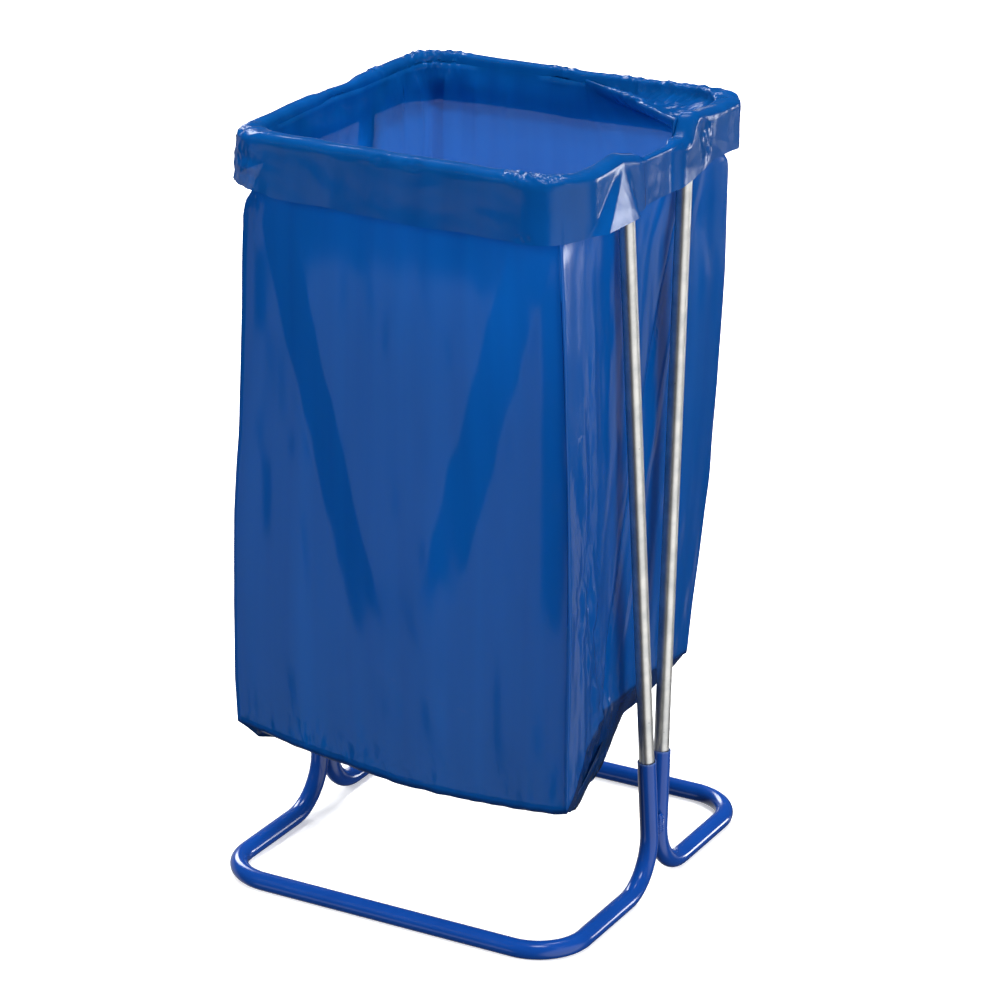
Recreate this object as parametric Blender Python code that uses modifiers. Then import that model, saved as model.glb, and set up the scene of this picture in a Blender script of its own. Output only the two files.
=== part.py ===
"""Plastic bag holder: a free-standing sack stand with its sack.

Two blue U-shaped base loops stand back to back and are welded leg to leg.
A bright steel upper frame plugs into the two open legs of each loop, leans
outward like a V, and ends in a rail. The sack's mouth is folded out over both
rails. Metres, +Z up, front towards -Y, origin on the floor under the middle.
"""

import math

import bmesh
import bpy
from mathutils import Matrix, Vector

# Base loops: round steel tube, plastic coated
BASE_TUBE = 0.022
BASE_WALL = 0.0012
BASE_BEND = 0.060
LEG_SPACING = 0.4526
BASE_DEPTH = 0.475
SOCKET_TOP = 0.168

# Upper frames: zinc-plated steel tube
RAIL_TUBE = 0.018
RAIL_WALL = 0.001
RAIL_SPACING = 0.410
RAIL_DEPTH = 0.418
RAIL_HEIGHT = 0.900
RAIL_CORNER = 0.055
RAIL_BEND = 0.045
PLUG_DEPTH = 0.060

# The legs of the two halves meet low down and lean apart above it
LEG_LEAN = math.radians(4.44)
LEG_START = 0.0068

# Fillet weld in the outer groove between two legs
WELD_BOTTOM = 0.070
WELD_TOP = 0.096
WELD_RADIUS = 0.007
WELD_OFFSET = 0.0055
WELD_ROOT = 0.0035

# Sack: a film bag drawn as a thin closed shell
FILM_WALL = 0.001
FILM_GAP = 0.0008
SACK_BOTTOM = 0.155
SACK_FOOT_RADIUS = 0.030
CUFF_HEM = 0.838
CUFF_FLARE = 0.002

TUBE_SIDES = 16
BEND_STEPS = 8
FOLD_STEPS = 6
FOOT_STEPS = 3
FIT_GAP = 0.00035


def clear_scene():
    for obj in list(bpy.data.objects):
        bpy.data.objects.remove(obj, do_unlink=True)


def collection(name):
    group = bpy.data.collections.new(name)
    bpy.context.scene.collection.children.link(group)
    return group


def material(name, colour, roughness, metallic):
    made = bpy.data.materials.new(name)
    made.use_nodes = True
    shader = made.node_tree.nodes["Principled BSDF"]
    shader.inputs["Base Color"].default_value = (*colour, 1.0)
    shader.inputs["Roughness"].default_value = roughness
    shader.inputs["Metallic"].default_value = metallic
    return made


def rounded_path(corners, radii, steps):
    """The corners' polyline, with each inner corner turned into an arc of its radius."""
    points = [corners[0]]
    for before, corner, after, radius in zip(corners, corners[1:], corners[2:], radii):
        to_before = (before - corner).normalized()
        to_after = (after - corner).normalized()
        half = to_before.angle(to_after) / 2
        centre = corner + (to_before + to_after).normalized() * (radius / math.sin(half))
        start = corner + to_before * (radius / math.tan(half)) - centre
        end = corner + to_after * (radius / math.tan(half)) - centre
        axis = start.cross(end).normalized()
        sweep = start.angle(end)
        for step in range(steps + 1):
            points.append(centre + Matrix.Rotation(sweep * step / steps, 3, axis) @ start)
    points.append(corners[-1])
    return points


def leg_centre(side, half, height):
    """Where a leg's centreline is at a height: side -1 left, 1 right; half -1 front, 1 rear."""
    rise = height - BASE_AXIS
    inward = (LEG_SPACING - RAIL_SPACING) / 2 / (RAIL_HEIGHT - BASE_AXIS)
    across = LEG_SPACING / 2 - inward * rise
    along = LEG_START + math.tan(LEG_LEAN) * rise
    return Vector((side * across, half * along, height))


def bent_tube(name, group, half_path, diameter, wall, surface):
    """A hollow tube, symmetric about X = 0, from the half path that starts there."""
    curve = bpy.data.curves.new(name, "CURVE")
    curve.dimensions = "3D"
    curve.twist_mode = "MINIMUM"
    curve.bevel_depth = diameter / 2
    curve.bevel_resolution = TUBE_SIDES // 2 - 2
    spline = curve.splines.new("POLY")
    spline.points.add(len(half_path) - 1)
    for point, place in zip(spline.points, half_path):
        point.co = (*place, 1.0)
        point.tilt = math.pi / TUBE_SIDES
    curve.materials.append(surface)
    tube = bpy.data.objects.new(name, curve)
    group.objects.link(tube)
    mirror = tube.modifiers.new("Other half", "MIRROR")
    mirror.use_axis = (True, False, False)
    mirror.merge_threshold = 0.00005
    shell = tube.modifiers.new("Tube wall", "SOLIDIFY")
    shell.thickness = wall
    shell.offset = -1.0
    shell.use_even_offset = True
    return tube


def base_loop(name, group, half, surface):
    bar = half * BASE_DEPTH / 2
    corners = [
        Vector((0.0, bar, BASE_AXIS)),
        Vector((LEG_SPACING / 2, bar, BASE_AXIS)),
        leg_centre(1, half, BASE_AXIS),
        leg_centre(1, half, SOCKET_TOP),
    ]
    path = rounded_path(corners, (BASE_BEND, BASE_BEND), BEND_STEPS)
    return bent_tube(name, group, path, BASE_TUBE, BASE_WALL, surface)


def upper_frame(name, group, half, surface):
    rail = half * RAIL_DEPTH / 2
    corners = [
        Vector((0.0, rail, RAIL_HEIGHT)),
        Vector((RAIL_SPACING / 2, rail, RAIL_HEIGHT)),
        leg_centre(1, half, RAIL_HEIGHT),
        leg_centre(1, half, SOCKET_TOP - PLUG_DEPTH),
    ]
    path = rounded_path(corners, (RAIL_CORNER, RAIL_BEND), BEND_STEPS)
    return bent_tube(name, group, path, RAIL_TUBE, RAIL_WALL, surface)


def mesh_object(name, group, shape, surface=None):
    mesh = bpy.data.meshes.new(name)
    shape.to_mesh(mesh)
    shape.free()
    if surface is not None:
        mesh.materials.append(surface)
    obj = bpy.data.objects.new(name, mesh)
    group.objects.link(obj)
    return obj


def cylinder(name, group, start, end, radius, sides, surface=None):
    shape = bmesh.new()
    axis = end - start
    turn = axis.to_track_quat("Z", "Y").to_matrix().to_4x4()
    place = Matrix.Translation((start + end) / 2) @ turn
    bmesh.ops.create_cone(
        shape, cap_ends=True, segments=sides, radius1=radius, radius2=radius,
        depth=axis.length, matrix=place,
    )
    return mesh_object(name, group, shape, surface)


def cut(target, cutter):
    cutter.hide_render = True
    cutter.display_type = "WIRE"
    boolean = target.modifiers.new(cutter.name, "BOOLEAN")
    boolean.operation = "DIFFERENCE"
    boolean.solver = "EXACT"
    boolean.object = cutter


def leg_weld(name, group, cutters, side, surface):
    """A convex bead along the groove, hollowed on both flanks by the legs it joins."""
    middle = leg_centre(side, 0, (WELD_BOTTOM + WELD_TOP) / 2)
    middle.y = 0.0
    bead_x = middle.x + side * WELD_OFFSET
    start = Vector((bead_x, 0.0, WELD_BOTTOM))
    end = Vector((bead_x, 0.0, WELD_TOP))
    bead = cylinder(name, group, start, end, WELD_RADIUS, TUBE_SIDES, surface)
    for half in (-1, 1):
        low = leg_centre(side, half, WELD_BOTTOM - WELD_RADIUS)
        high = leg_centre(side, half, WELD_TOP + WELD_RADIUS)
        label = f"{name} leg {'front' if half < 0 else 'rear'}"
        cut(bead, cylinder(label, cutters, low, high, BASE_TUBE / 2 + FIT_GAP, 2 * TUBE_SIDES))
    root = bmesh.new()
    depth = 2 * WELD_RADIUS
    size = Matrix.Diagonal((depth, depth, 2 * (WELD_TOP - WELD_BOTTOM), 1.0))
    centre = Vector((middle.x + side * (WELD_ROOT - depth / 2), 0.0, middle.z))
    bmesh.ops.create_cube(root, size=1.0, matrix=Matrix.Translation(centre) @ size)
    cut(bead, mesh_object(f"{name} root", cutters, root))
    return bead


def rounded_ring(half_x, half_y, corner, height):
    """Points round a rectangle with rounded corners, anticlockwise from the +X side."""
    points = []
    for quarter, (sign_x, sign_y) in enumerate(((1, 1), (-1, 1), (-1, -1), (1, -1))):
        centre = Vector((sign_x * (half_x - corner), sign_y * (half_y - corner), height))
        for step in range(BEND_STEPS + 1):
            angle = math.pi / 2 * (quarter + step / BEND_STEPS)
            points.append(centre + Vector((math.cos(angle), math.sin(angle), 0)) * corner)
    return points


def sack_rings():
    """From the cuff's hem up its outside, over the rail and down to the bottom."""
    reach = RAIL_TUBE / 2 + FILM_GAP
    rows = [(reach + CUFF_FLARE, CUFF_HEM)]
    for step in range(FOLD_STEPS + 1):
        angle = math.pi * step / FOLD_STEPS
        rows.append((reach * math.cos(angle), RAIL_HEIGHT + reach * math.sin(angle)))
    for step in range(FOOT_STEPS + 1):
        angle = math.pi / 2 * step / FOOT_STEPS
        tuck = SACK_FOOT_RADIUS * (1 - math.cos(angle))
        drop = SACK_FOOT_RADIUS * (1 - math.sin(angle))
        rows.append((-reach - tuck, SACK_BOTTOM + drop))
    return [
        rounded_ring(
            RAIL_SPACING / 2 + out, RAIL_DEPTH / 2 + out, max(RAIL_CORNER + out, FILM_WALL * 12),
            height,
        )
        for out, height in rows
    ]


def plastic_sack(name, group, surface):
    """A loft whose faces look away from the rails, thickened on that side."""
    shape = bmesh.new()
    previous = None
    for ring in sack_rings():
        verts = [shape.verts.new(point) for point in ring]
        if previous is not None:
            for i, vert in enumerate(verts):
                j = (i + 1) % len(verts)
                shape.faces.new((previous[i], previous[j], verts[j], vert))
        previous = verts
    shape.faces.new(previous)
    sack = mesh_object(name, group, shape, surface)
    film = sack.modifiers.new("Film", "SOLIDIFY")
    film.thickness = FILM_WALL
    film.offset = 1.0
    film.use_even_offset = True
    return sack


# Height of a base tube's axis when a flat of its many-sided section lies on the floor
BASE_AXIS = BASE_TUBE / 2 * math.cos(math.pi / TUBE_SIDES)


def main():
    clear_scene()
    parts = collection("plastic bag holder")
    cutters = collection("cutters")
    blue_coat = material("blue coating", (0.010, 0.065, 0.40), 0.22, 0.0)
    zinc = material("zinc plated steel", (0.62, 0.64, 0.64), 0.25, 1.0)
    film = material("blue film", (0.012, 0.085, 0.33), 0.30, 0.0)
    for half, end in ((-1, "front"), (1, "rear")):
        base_loop(f"{end}_base_loop", parts, half, blue_coat)
        upper_frame(f"{end}_upper_frame", parts, half, zinc)
    for side, hand in ((-1, "left"), (1, "right")):
        leg_weld(f"{hand}_leg_weld", parts, cutters, side, blue_coat)
    plastic_sack("plastic_sack", parts, film)


main()
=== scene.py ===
"""Plastic bag holder: the looks of its tubes, welds and film sack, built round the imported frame.

Laid out as an add-on and run as a script. Metres, +Z up, front towards -Y.
"""

import math
from functools import partial

import bmesh
import bpy
import numpy as np
from mathutils import Matrix, Vector


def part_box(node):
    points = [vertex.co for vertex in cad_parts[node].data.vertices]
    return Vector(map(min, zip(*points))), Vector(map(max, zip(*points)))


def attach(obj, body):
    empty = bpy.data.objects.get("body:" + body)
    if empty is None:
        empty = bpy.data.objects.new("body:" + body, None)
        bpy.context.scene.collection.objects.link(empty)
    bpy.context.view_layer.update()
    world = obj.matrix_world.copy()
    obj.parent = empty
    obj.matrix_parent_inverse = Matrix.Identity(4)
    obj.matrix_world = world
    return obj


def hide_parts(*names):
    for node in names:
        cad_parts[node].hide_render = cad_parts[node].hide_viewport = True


bl_info = {
    "name": "Plastic bag holder",
    "version": (1, 0, 0),
    "blender": (4, 5, 0),
    "location": "View3D > Sidebar > Bag Holder",
    "description": "Builds a tube sack stand with its film sack",
    "category": "Object",
}

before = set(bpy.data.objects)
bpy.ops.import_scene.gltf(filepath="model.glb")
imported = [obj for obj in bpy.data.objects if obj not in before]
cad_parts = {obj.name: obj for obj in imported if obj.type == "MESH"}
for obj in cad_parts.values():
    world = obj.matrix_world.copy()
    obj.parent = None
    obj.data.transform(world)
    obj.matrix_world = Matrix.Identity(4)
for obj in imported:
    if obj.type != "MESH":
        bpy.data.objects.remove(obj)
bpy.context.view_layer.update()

MM = 0.001
HALVES = {"front": -1, "rear": 1}
SIDES = {"left": -1, "right": 1}

BASE_LOW, BASE_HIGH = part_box("front_base_loop")
UPPER_LOW, UPPER_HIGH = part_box("front_upper_frame")
WELD_LOW, WELD_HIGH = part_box("right_leg_weld")


# ---------------------------------------------------------------- materials


def linear(hex_colour):
    """An sRGB hex colour as linear RGBA."""
    channels = [int(hex_colour[i : i + 2], 16) / 255 for i in (1, 3, 5)]
    decoded = [c / 12.92 if c <= 0.04045 else ((c + 0.055) / 1.055) ** 2.4 for c in channels]
    return (*decoded, 1.0)


def add_node(tree, kind, links=None, **settings):
    """Adds a node. Settings name its properties; links give its inputs a value or a source:
    another node's first output, or one of its other sockets."""
    node = tree.nodes.new(kind)
    for name, value in settings.items():
        setattr(node, name, value)
    for key, value in (links or {}).items():
        socket = node.inputs[key]
        if isinstance(value, bpy.types.Node):
            value = value.outputs[0]
        if isinstance(value, bpy.types.NodeSocket):
            tree.links.new(value, socket)
        else:
            socket.default_value = value
    return node


def new_material(name):
    """An empty material, and add_node for its tree."""
    made = bpy.data.materials.new(name)
    made.use_nodes = True
    made.node_tree.nodes.clear()
    return made, partial(add_node, made.node_tree)


def powder_coat(props):
    """Polyester powder coat on steel tube: a deep glossy skin with faint orange peel.

    The eye gets sharp, slightly wavy highlights, and scuffs where the tubes plug in.
    """
    made, node = new_material("powder coated steel, gloss blue")
    place = node("ShaderNodeTexCoord").outputs["Object"]
    peel = node(
        "ShaderNodeTexNoise",
        {"Vector": place, "Scale": 1 / (2.2 * MM), "Detail": 2.0, "Roughness": 0.45},
    )
    cloud = node("ShaderNodeTexNoise", {"Vector": place, "Scale": 1 / (60 * MM), "Detail": 3.0})
    clouds = node("ShaderNodeMapRange", {"Value": cloud, "From Min": 0.3, "From Max": 0.7})
    body = node(
        "ShaderNodeMix",
        {"Factor": clouds, 6: linear(props.coat_dark), 7: linear(props.coat_colour)},
        data_type="RGBA",
    )
    around = node("ShaderNodeAttribute", attribute_name="to_mouth").outputs["Fac"]
    scuff_noise = node(
        "ShaderNodeTexNoise", {"Vector": place, "Scale": 1 / (1.6 * MM), "Detail": 4.0}
    )
    reach = node(
        "ShaderNodeMapRange",
        {"Value": around, "From Min": 0.0, "From Max": 2.5 * MM, "To Min": 0.55, "To Max": 0.0},
    )
    scuff = node("ShaderNodeMath", {0: scuff_noise, 1: reach}, operation="MULTIPLY")
    colour = node(
        "ShaderNodeMix",
        {"Factor": scuff, 6: body.outputs[2], 7: linear("#7F95BD")},
        data_type="RGBA",
    )
    rough = node(
        "ShaderNodeMapRange",
        {"Value": cloud, "From Min": 0.3, "From Max": 0.7, "To Min": 0.14, "To Max": 0.22},
    )
    bump = node("ShaderNodeBump", {"Height": peel, "Strength": 0.35, "Distance": 0.05 * MM})
    shader = node(
        "ShaderNodeBsdfPrincipled",
        {"Base Color": colour.outputs[2], "Roughness": rough, "Normal": bump, "IOR": 1.5,
         "Specular IOR Level": 0.32, "Coat Weight": 0.22, "Coat Roughness": 0.06},
    )
    node("ShaderNodeOutputMaterial", {"Surface": shader})
    return made


def zinc_plate(props):
    """Bright zinc plating on drawn steel tube, centreless ground before plating.

    The eye gets a broken mirror: fine rings round the tube, cloudy patches and pinprick pits.
    The rings are 1.1 mm apart, coarser than the real grind, so that they show.
    """
    made, node = new_material("bright zinc plated steel")
    place = node("ShaderNodeTexCoord").outputs["Object"]
    along = node("ShaderNodeAttribute", attribute_name="along").outputs["Fac"]
    wander = node("ShaderNodeTexNoise", {"Vector": place, "Scale": 1 / (9 * MM), "Detail": 2.0})
    shifted = node("ShaderNodeMath", {0: wander, 1: 1.4 * MM, 2: along}, operation="MULTIPLY_ADD")
    rings = node(
        "ShaderNodeTexNoise",
        {"W": shifted, "Scale": 1 / (1.1 * MM), "Detail": 3.0, "Roughness": 0.7},
        noise_dimensions="1D",
    )
    cloud = node(
        "ShaderNodeTexNoise",
        {"Vector": place, "Scale": 1 / (28 * MM), "Detail": 5.0, "Roughness": 0.6},
    )
    pits = node("ShaderNodeTexVoronoi", {"Vector": place, "Scale": 1 / (17 * MM)})
    pit = node(
        "ShaderNodeMapRange",
        {"Value": pits, "From Min": 0.03, "From Max": 0.06, "To Min": 0.55, "To Max": 0.0},
    )
    clouds = node("ShaderNodeMapRange", {"Value": cloud, "From Min": 0.32, "From Max": 0.62})
    plated = node(
        "ShaderNodeMix",
        {"Factor": clouds, 6: linear(props.zinc_dark), 7: linear(props.zinc_colour)},
        data_type="RGBA",
    )
    colour = node(
        "ShaderNodeMix",
        {"Factor": pit, 6: plated.outputs[2], 7: linear("#3B3A38")},
        data_type="RGBA",
    )
    rough = node(
        "ShaderNodeMapRange",
        {"Value": rings, "From Min": 0.3, "From Max": 0.7, "To Min": 0.33, "To Max": 0.42},
    )
    bump = node("ShaderNodeBump", {"Height": rings, "Strength": 0.5, "Distance": 0.012 * MM})
    shader = node(
        "ShaderNodeBsdfPrincipled",
        {"Base Color": colour.outputs[2], "Roughness": rough, "Metallic": 1.0, "Normal": bump},
    )
    node("ShaderNodeOutputMaterial", {"Surface": shader})
    return made


def sack_film(props):
    """Blown LDPE film, 50 microns, mass-coloured blue.

    The eye gets a smooth skin that shines where it is drawn tight, lets light through, and
    carries fine handling creases and the faint lengthwise lines of the blown tube.
    """
    made, node = new_material("blown LDPE film, blue")
    sheet = node("ShaderNodeUVMap", uv_map="film").outputs["UV"]
    place = node("ShaderNodeTexCoord").outputs["Object"]
    die_scale = node(
        "ShaderNodeMapping", {"Vector": sheet, "Scale": (1 / (14 * MM), 1 / (500 * MM), 1)}
    )
    die_lines = node("ShaderNodeTexNoise", {"Vector": die_scale, "Scale": 1.0, "Detail": 4.0})
    crease_warp = node(
        "ShaderNodeTexNoise", {"Vector": place, "Scale": 1 / (45 * MM), "Detail": 2.0}
    )
    crease_place = node(
        "ShaderNodeVectorMath",
        {0: crease_warp.outputs["Color"], 1: (0.03, 0.03, 0.05), 2: place},
        operation="MULTIPLY_ADD",
    )
    crease_long = node(
        "ShaderNodeVectorMath", {0: crease_place, 1: (1.0, 1.0, 0.45)}, operation="MULTIPLY"
    )
    creases = node("ShaderNodeTexVoronoi", {"Vector": crease_long, "Scale": 1 / (13 * MM)})
    fine = node(
        "ShaderNodeTexNoise",
        {"Vector": crease_long, "Scale": 1 / (7 * MM), "Detail": 4.0, "Roughness": 0.55},
    )
    crumpled = node("ShaderNodeAttribute", attribute_name="crumple").outputs["Fac"]
    crumple_height = node("ShaderNodeMath", {0: creases, 1: crumpled}, operation="MULTIPLY")
    fine_amount = node("ShaderNodeMapRange", {"Value": crumpled, "To Min": 0.025, "To Max": 0.30})
    fine_height = node("ShaderNodeMath", {0: fine, 1: fine_amount}, operation="MULTIPLY")
    both = node("ShaderNodeMath", {0: crumple_height, 1: fine_height}, operation="ADD")
    height = node("ShaderNodeMath", {0: die_lines, 1: 0.02, 2: both}, operation="MULTIPLY_ADD")
    bump = node("ShaderNodeBump", {"Height": height, "Strength": 1.0, "Distance": 2.8 * MM})
    thickness = node("ShaderNodeTexNoise", {"Vector": die_scale, "Scale": 0.35, "Detail": 3.0})
    thinness = node("ShaderNodeMapRange", {"Value": thickness, "From Min": 0.3, "From Max": 0.7})
    # Painted shade: the foot rows under the sack (layers 3) are mixed three quarters of the way to
    # the folded-film colour. This stands for stacked film there and also for the shade under the
    # sack.
    stacked_and_shade = node(
        "ShaderNodeMapRange",
        {"Value": node("ShaderNodeAttribute", attribute_name="layers").outputs["Fac"],
         "From Min": 2.0, "From Max": 3.0, "To Min": 0.0, "To Max": 0.75},
    )
    tints = []
    for thick, thin in ((props.film_dark, props.film_colour),
                        (props.film_glow_dark, props.film_glow)):
        single = node(
            "ShaderNodeMix",
            {"Factor": thinness, 6: linear(thick), 7: linear(thin)},
            data_type="RGBA",
        )
        tint = node(
            "ShaderNodeMix",
            {"Factor": stacked_and_shade, 6: single.outputs[2], 7: linear(props.film_folds_and_shade)},
            data_type="RGBA",
        )
        tints.append(tint.outputs[2])
    body, glow = tints
    skin = node(
        "ShaderNodeBsdfPrincipled",
        {"Base Color": body, "Roughness": 0.18, "IOR": 1.5, "Specular IOR Level": 0.33,
         "Normal": bump, "Alpha": 0.985},
    )
    through = node("ShaderNodeBsdfTranslucent", {"Color": glow})
    surface = node("ShaderNodeMixShader", {0: 0.32, 1: skin, 2: through})
    node("ShaderNodeOutputMaterial", {"Surface": surface})
    return made


def pale_paper(name, glow):
    """Matt white paper sweep, lit a little from within so that it stays even."""
    made, node = new_material(name)
    shader = node(
        "ShaderNodeBsdfPrincipled",
        {"Base Color": linear("#F2F2F2"), "Roughness": 0.9, "Specular IOR Level": 0.1,
         "Emission Color": linear("#FFFFFF"), "Emission Strength": glow},
    )
    node("ShaderNodeOutputMaterial", {"Surface": shader})
    return made


# ------------------------------------------------------------------ tubes


def leg_centre(props, side, half, height):
    """A leg's centreline at a height: legs lean apart front to back, and a little inward."""
    low = props.base_tube / 2
    rise = (height - low) / (rail_height(props) - low)
    across = leg_half_spacing(props) * (1 - rise) + rail_half_spacing(props) * rise
    along = props.leg_start + math.tan(props.leg_lean) * (height - low)
    return Vector((side * across, half * along, height))


def leg_half_spacing(props):
    return BASE_HIGH.x - props.base_tube / 2


def rail_half_spacing(props):
    return props.rail_spacing / 2


def rail_height(props):
    return UPPER_HIGH.z - props.rail_tube / 2


def rail_reach(props):
    """Distance of a rail's centreline in front of or behind the middle."""
    return -UPPER_LOW.y - props.rail_tube / 2


def base_corners(props, half):
    """The corners of a base loop's centreline, each with its bend radius."""
    radius = props.base_tube / 2
    bar = half * (-BASE_LOW.y - radius)
    wide = leg_half_spacing(props)
    bend = props.base_bend
    right = [
        (leg_centre(props, 1, half, props.socket_top), 0.0),
        (leg_centre(props, 1, half, radius), bend),
        (Vector((wide, bar, radius)), bend),
    ]
    return right + [(Vector((-p.x, p.y, p.z)), r) for p, r in reversed(right)]


def upper_corners(props, half):
    """The corners of an upper frame's centreline, each with its bend radius."""
    reach = half * rail_reach(props)
    top = rail_height(props)
    right = [
        (leg_centre(props, 1, half, props.plug_end), 0.0),
        (leg_centre(props, 1, half, top), props.rail_bend),
        (Vector((rail_half_spacing(props), reach, top)), props.rail_corner),
    ]
    return right + [(Vector((-p.x, p.y, p.z)), r) for p, r in reversed(right)]


TUBE_SIDES = 40
BASE_BEND_STEPS = 20
UPPER_BEND_STEPS = 16


def tube_tree():
    """A round tube along a polyline whose corners are bent to their own radius.

    It keeps "along", the distance from the tube's first end, and "to_mouth", the distance to
    its nearer end, for the materials.
    """
    tree = bpy.data.node_groups.new("Bent tube", "GeometryNodeTree")
    node = partial(add_node, tree)
    face = tree.interface
    face.new_socket("Geometry", in_out="INPUT", socket_type="NodeSocketGeometry")
    face.new_socket("Outer diameter", in_out="INPUT", socket_type="NodeSocketFloat")
    for name in ("Sides", "Bend steps"):
        face.new_socket(name, in_out="INPUT", socket_type="NodeSocketInt")
    face.new_socket("Material", in_out="INPUT", socket_type="NodeSocketMaterial")
    face.new_socket("Geometry", in_out="OUTPUT", socket_type="NodeSocketGeometry")
    source = node("NodeGroupInput")
    radius = node("GeometryNodeInputNamedAttribute", {"Name": "bend"}, data_type="FLOAT")
    line = node("GeometryNodeMeshToCurve", {"Mesh": source.outputs["Geometry"]})
    bent = node(
        "GeometryNodeFilletCurve",
        {"Curve": line, "Count": source.outputs["Bend steps"],
         "Radius": radius.outputs["Attribute"], "Limit Radius": False},
        mode="POLY",
    )
    place = node("GeometryNodeSplineParameter").outputs["Length"]
    whole = node("GeometryNodeSplineLength").outputs["Length"]
    rest = node("ShaderNodeMath", {0: whole, 1: place}, operation="SUBTRACT")
    nearer = node("ShaderNodeMath", {0: place, 1: rest}, operation="MINIMUM")
    marked = bent
    for name, value in (("along", place), ("to_mouth", nearer)):
        marked = node(
            "GeometryNodeStoreNamedAttribute",
            {"Geometry": marked, "Name": name, "Value": value},
            data_type="FLOAT", domain="POINT",
        )
    half = node(
        "ShaderNodeMath", {0: source.outputs["Outer diameter"], 1: 0.5}, operation="MULTIPLY"
    )
    section = node(
        "GeometryNodeCurvePrimitiveCircle",
        {"Resolution": source.outputs["Sides"], "Radius": half},
        mode="RADIUS",
    )
    skin = node("GeometryNodeCurveToMesh", {"Curve": marked, "Profile Curve": section})
    smooth = node("GeometryNodeSetShadeSmooth", {"Geometry": skin})
    real = node("GeometryNodeRealizeInstances", {"Geometry": smooth})
    painted = node(
        "GeometryNodeSetMaterial", {"Geometry": real, "Material": source.outputs["Material"]}
    )
    node("NodeGroupOutput", {"Geometry": painted})
    return tree


def link_object(name, data):
    obj = bpy.data.objects.new(name, data)
    bpy.context.scene.collection.objects.link(obj)
    return obj


def mesh_of(shape, name):
    """Keeps a finished bmesh as a mesh."""
    mesh = bpy.data.meshes.new(name)
    shape.to_mesh(mesh)
    shape.free()
    return mesh


def store(mesh, label, values):
    """Keeps a value for each vertex, for the tube tree or a material to read."""
    mesh.attributes.new(label, "FLOAT", "POINT").data.foreach_set("value", values)


def band(shape, lower, upper):
    """Joins two rings of vertices with a band of smooth faces, and gives the faces."""
    faces = []
    for k, vertex in enumerate(lower):
        j = (k + 1) % len(lower)
        faces.append(shape.faces.new((vertex, lower[j], upper[j], upper[k])))
        faces[-1].smooth = True
    return faces


def bent_tube(name, corners, diameter, wall, surface, steps):
    """A hollow bent tube with softly rounded mouths, made from the bent tube tree."""
    path = bpy.data.meshes.new(f"{name} path")
    points = [point for point, _ in corners]
    path.from_pydata(points, [(i, i + 1) for i in range(len(points) - 1)], [])
    store(path, "bend", [radius for _, radius in corners])
    guide = link_object(f"{name} guide", path)
    tree = bpy.data.node_groups.get("Bent tube") or tube_tree()
    modifier = guide.modifiers.new("Bent tube", "NODES")
    modifier.node_group = tree
    inputs = {"Outer diameter": diameter, "Sides": TUBE_SIDES, "Bend steps": steps,
              "Material": surface}
    for socket in tree.interface.items_tree:
        if socket.in_out == "INPUT" and socket.name in inputs:
            modifier[socket.identifier] = inputs[socket.name]
    seen = guide.evaluated_get(bpy.context.evaluated_depsgraph_get())
    mesh = bpy.data.meshes.new_from_object(seen)
    bpy.data.objects.remove(guide, do_unlink=True)
    tube = link_object(name, mesh)
    shell = tube.modifiers.new("Tube wall", "SOLIDIFY")
    shell.thickness = wall
    shell.offset = -1.0
    lip = tube.modifiers.new("Rounded lip", "BEVEL")
    lip.width = wall * 0.35
    lip.segments = 2
    lip.limit_method = "ANGLE"
    lip.angle_limit = math.radians(50)
    lip.harden_normals = True
    return tube


WELD_RINGS = 61
WELD_RIPPLES = 9
WELD_SIDES = 28


def weld_bead(name, side, surface):
    """A weld run up the groove between two sleeves: a tapered rod with a ripple per drop."""
    centre_x = side * (WELD_LOW.x + WELD_HIGH.x) / 2
    half_x = (WELD_HIGH.x - WELD_LOW.x) / 2
    half_y = (WELD_HIGH.y - WELD_LOW.y) / 2
    low, high = WELD_LOW.z, WELD_HIGH.z
    shape = bmesh.new()
    rings = []
    for i in range(WELD_RINGS):
        t = i / (WELD_RINGS - 1)
        taper = (1 - abs(2 * t - 1) ** 4) ** 0.5
        ripple = 1 - 0.10 * abs(math.sin(math.pi * WELD_RIPPLES * t))
        swell = max(taper * ripple, 0.04)
        ring = []
        for k in range(WELD_SIDES):
            turn = 2 * math.pi * k / WELD_SIDES
            lean = 0.5 * MM * math.cos(turn) * ripple
            ring.append(shape.verts.new((
                centre_x + half_x * swell * math.cos(turn),
                half_y * swell * math.sin(turn),
                low + (high - low) * t + lean,
            )))
        rings.append(ring)
    for lower, upper in zip(rings, rings[1:]):
        band(shape, lower, upper)
    for end in (rings[0][::-1], rings[-1]):
        shape.faces.new(end).smooth = True
    bmesh.ops.recalc_face_normals(shape, faces=shape.faces)
    mesh = mesh_of(shape, name)
    store(mesh, "to_mouth", [1.0] * len(mesh.vertices))
    mesh.materials.append(surface)
    return link_object(name, mesh)


# ------------------------------------------------------------------ sack


def smooth_step(value, low, high):
    part = np.clip((value - low) / (high - low), 0.0, 1.0)
    return part * part * (3 - 2 * part)


def even_step(value, half):
    """0 to 1 over a band of even slope with slightly eased ends."""
    return 0.75 * np.clip((value / half + 1) / 2, 0, 1) + 0.25 * smooth_step(value, -half, half)


def value_noise(x, y, seed):
    """Smooth noise between -1 and 1 on a unit grid, from a fixed seed."""
    grid = np.random.default_rng(seed).uniform(-1, 1, (64, 64))
    column, row = np.floor(x).astype(int), np.floor(y).astype(int)
    s, t = x - column, y - row
    s, t = s * s * (3 - 2 * s), t * t * (3 - 2 * t)
    a, b = column % 64, row % 64
    c, d = (column + 1) % 64, (row + 1) % 64
    return ((grid[a, b] * (1 - s) + grid[c, b] * s) * (1 - t)
            + (grid[a, d] * (1 - s) + grid[c, d] * s) * t)


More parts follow.
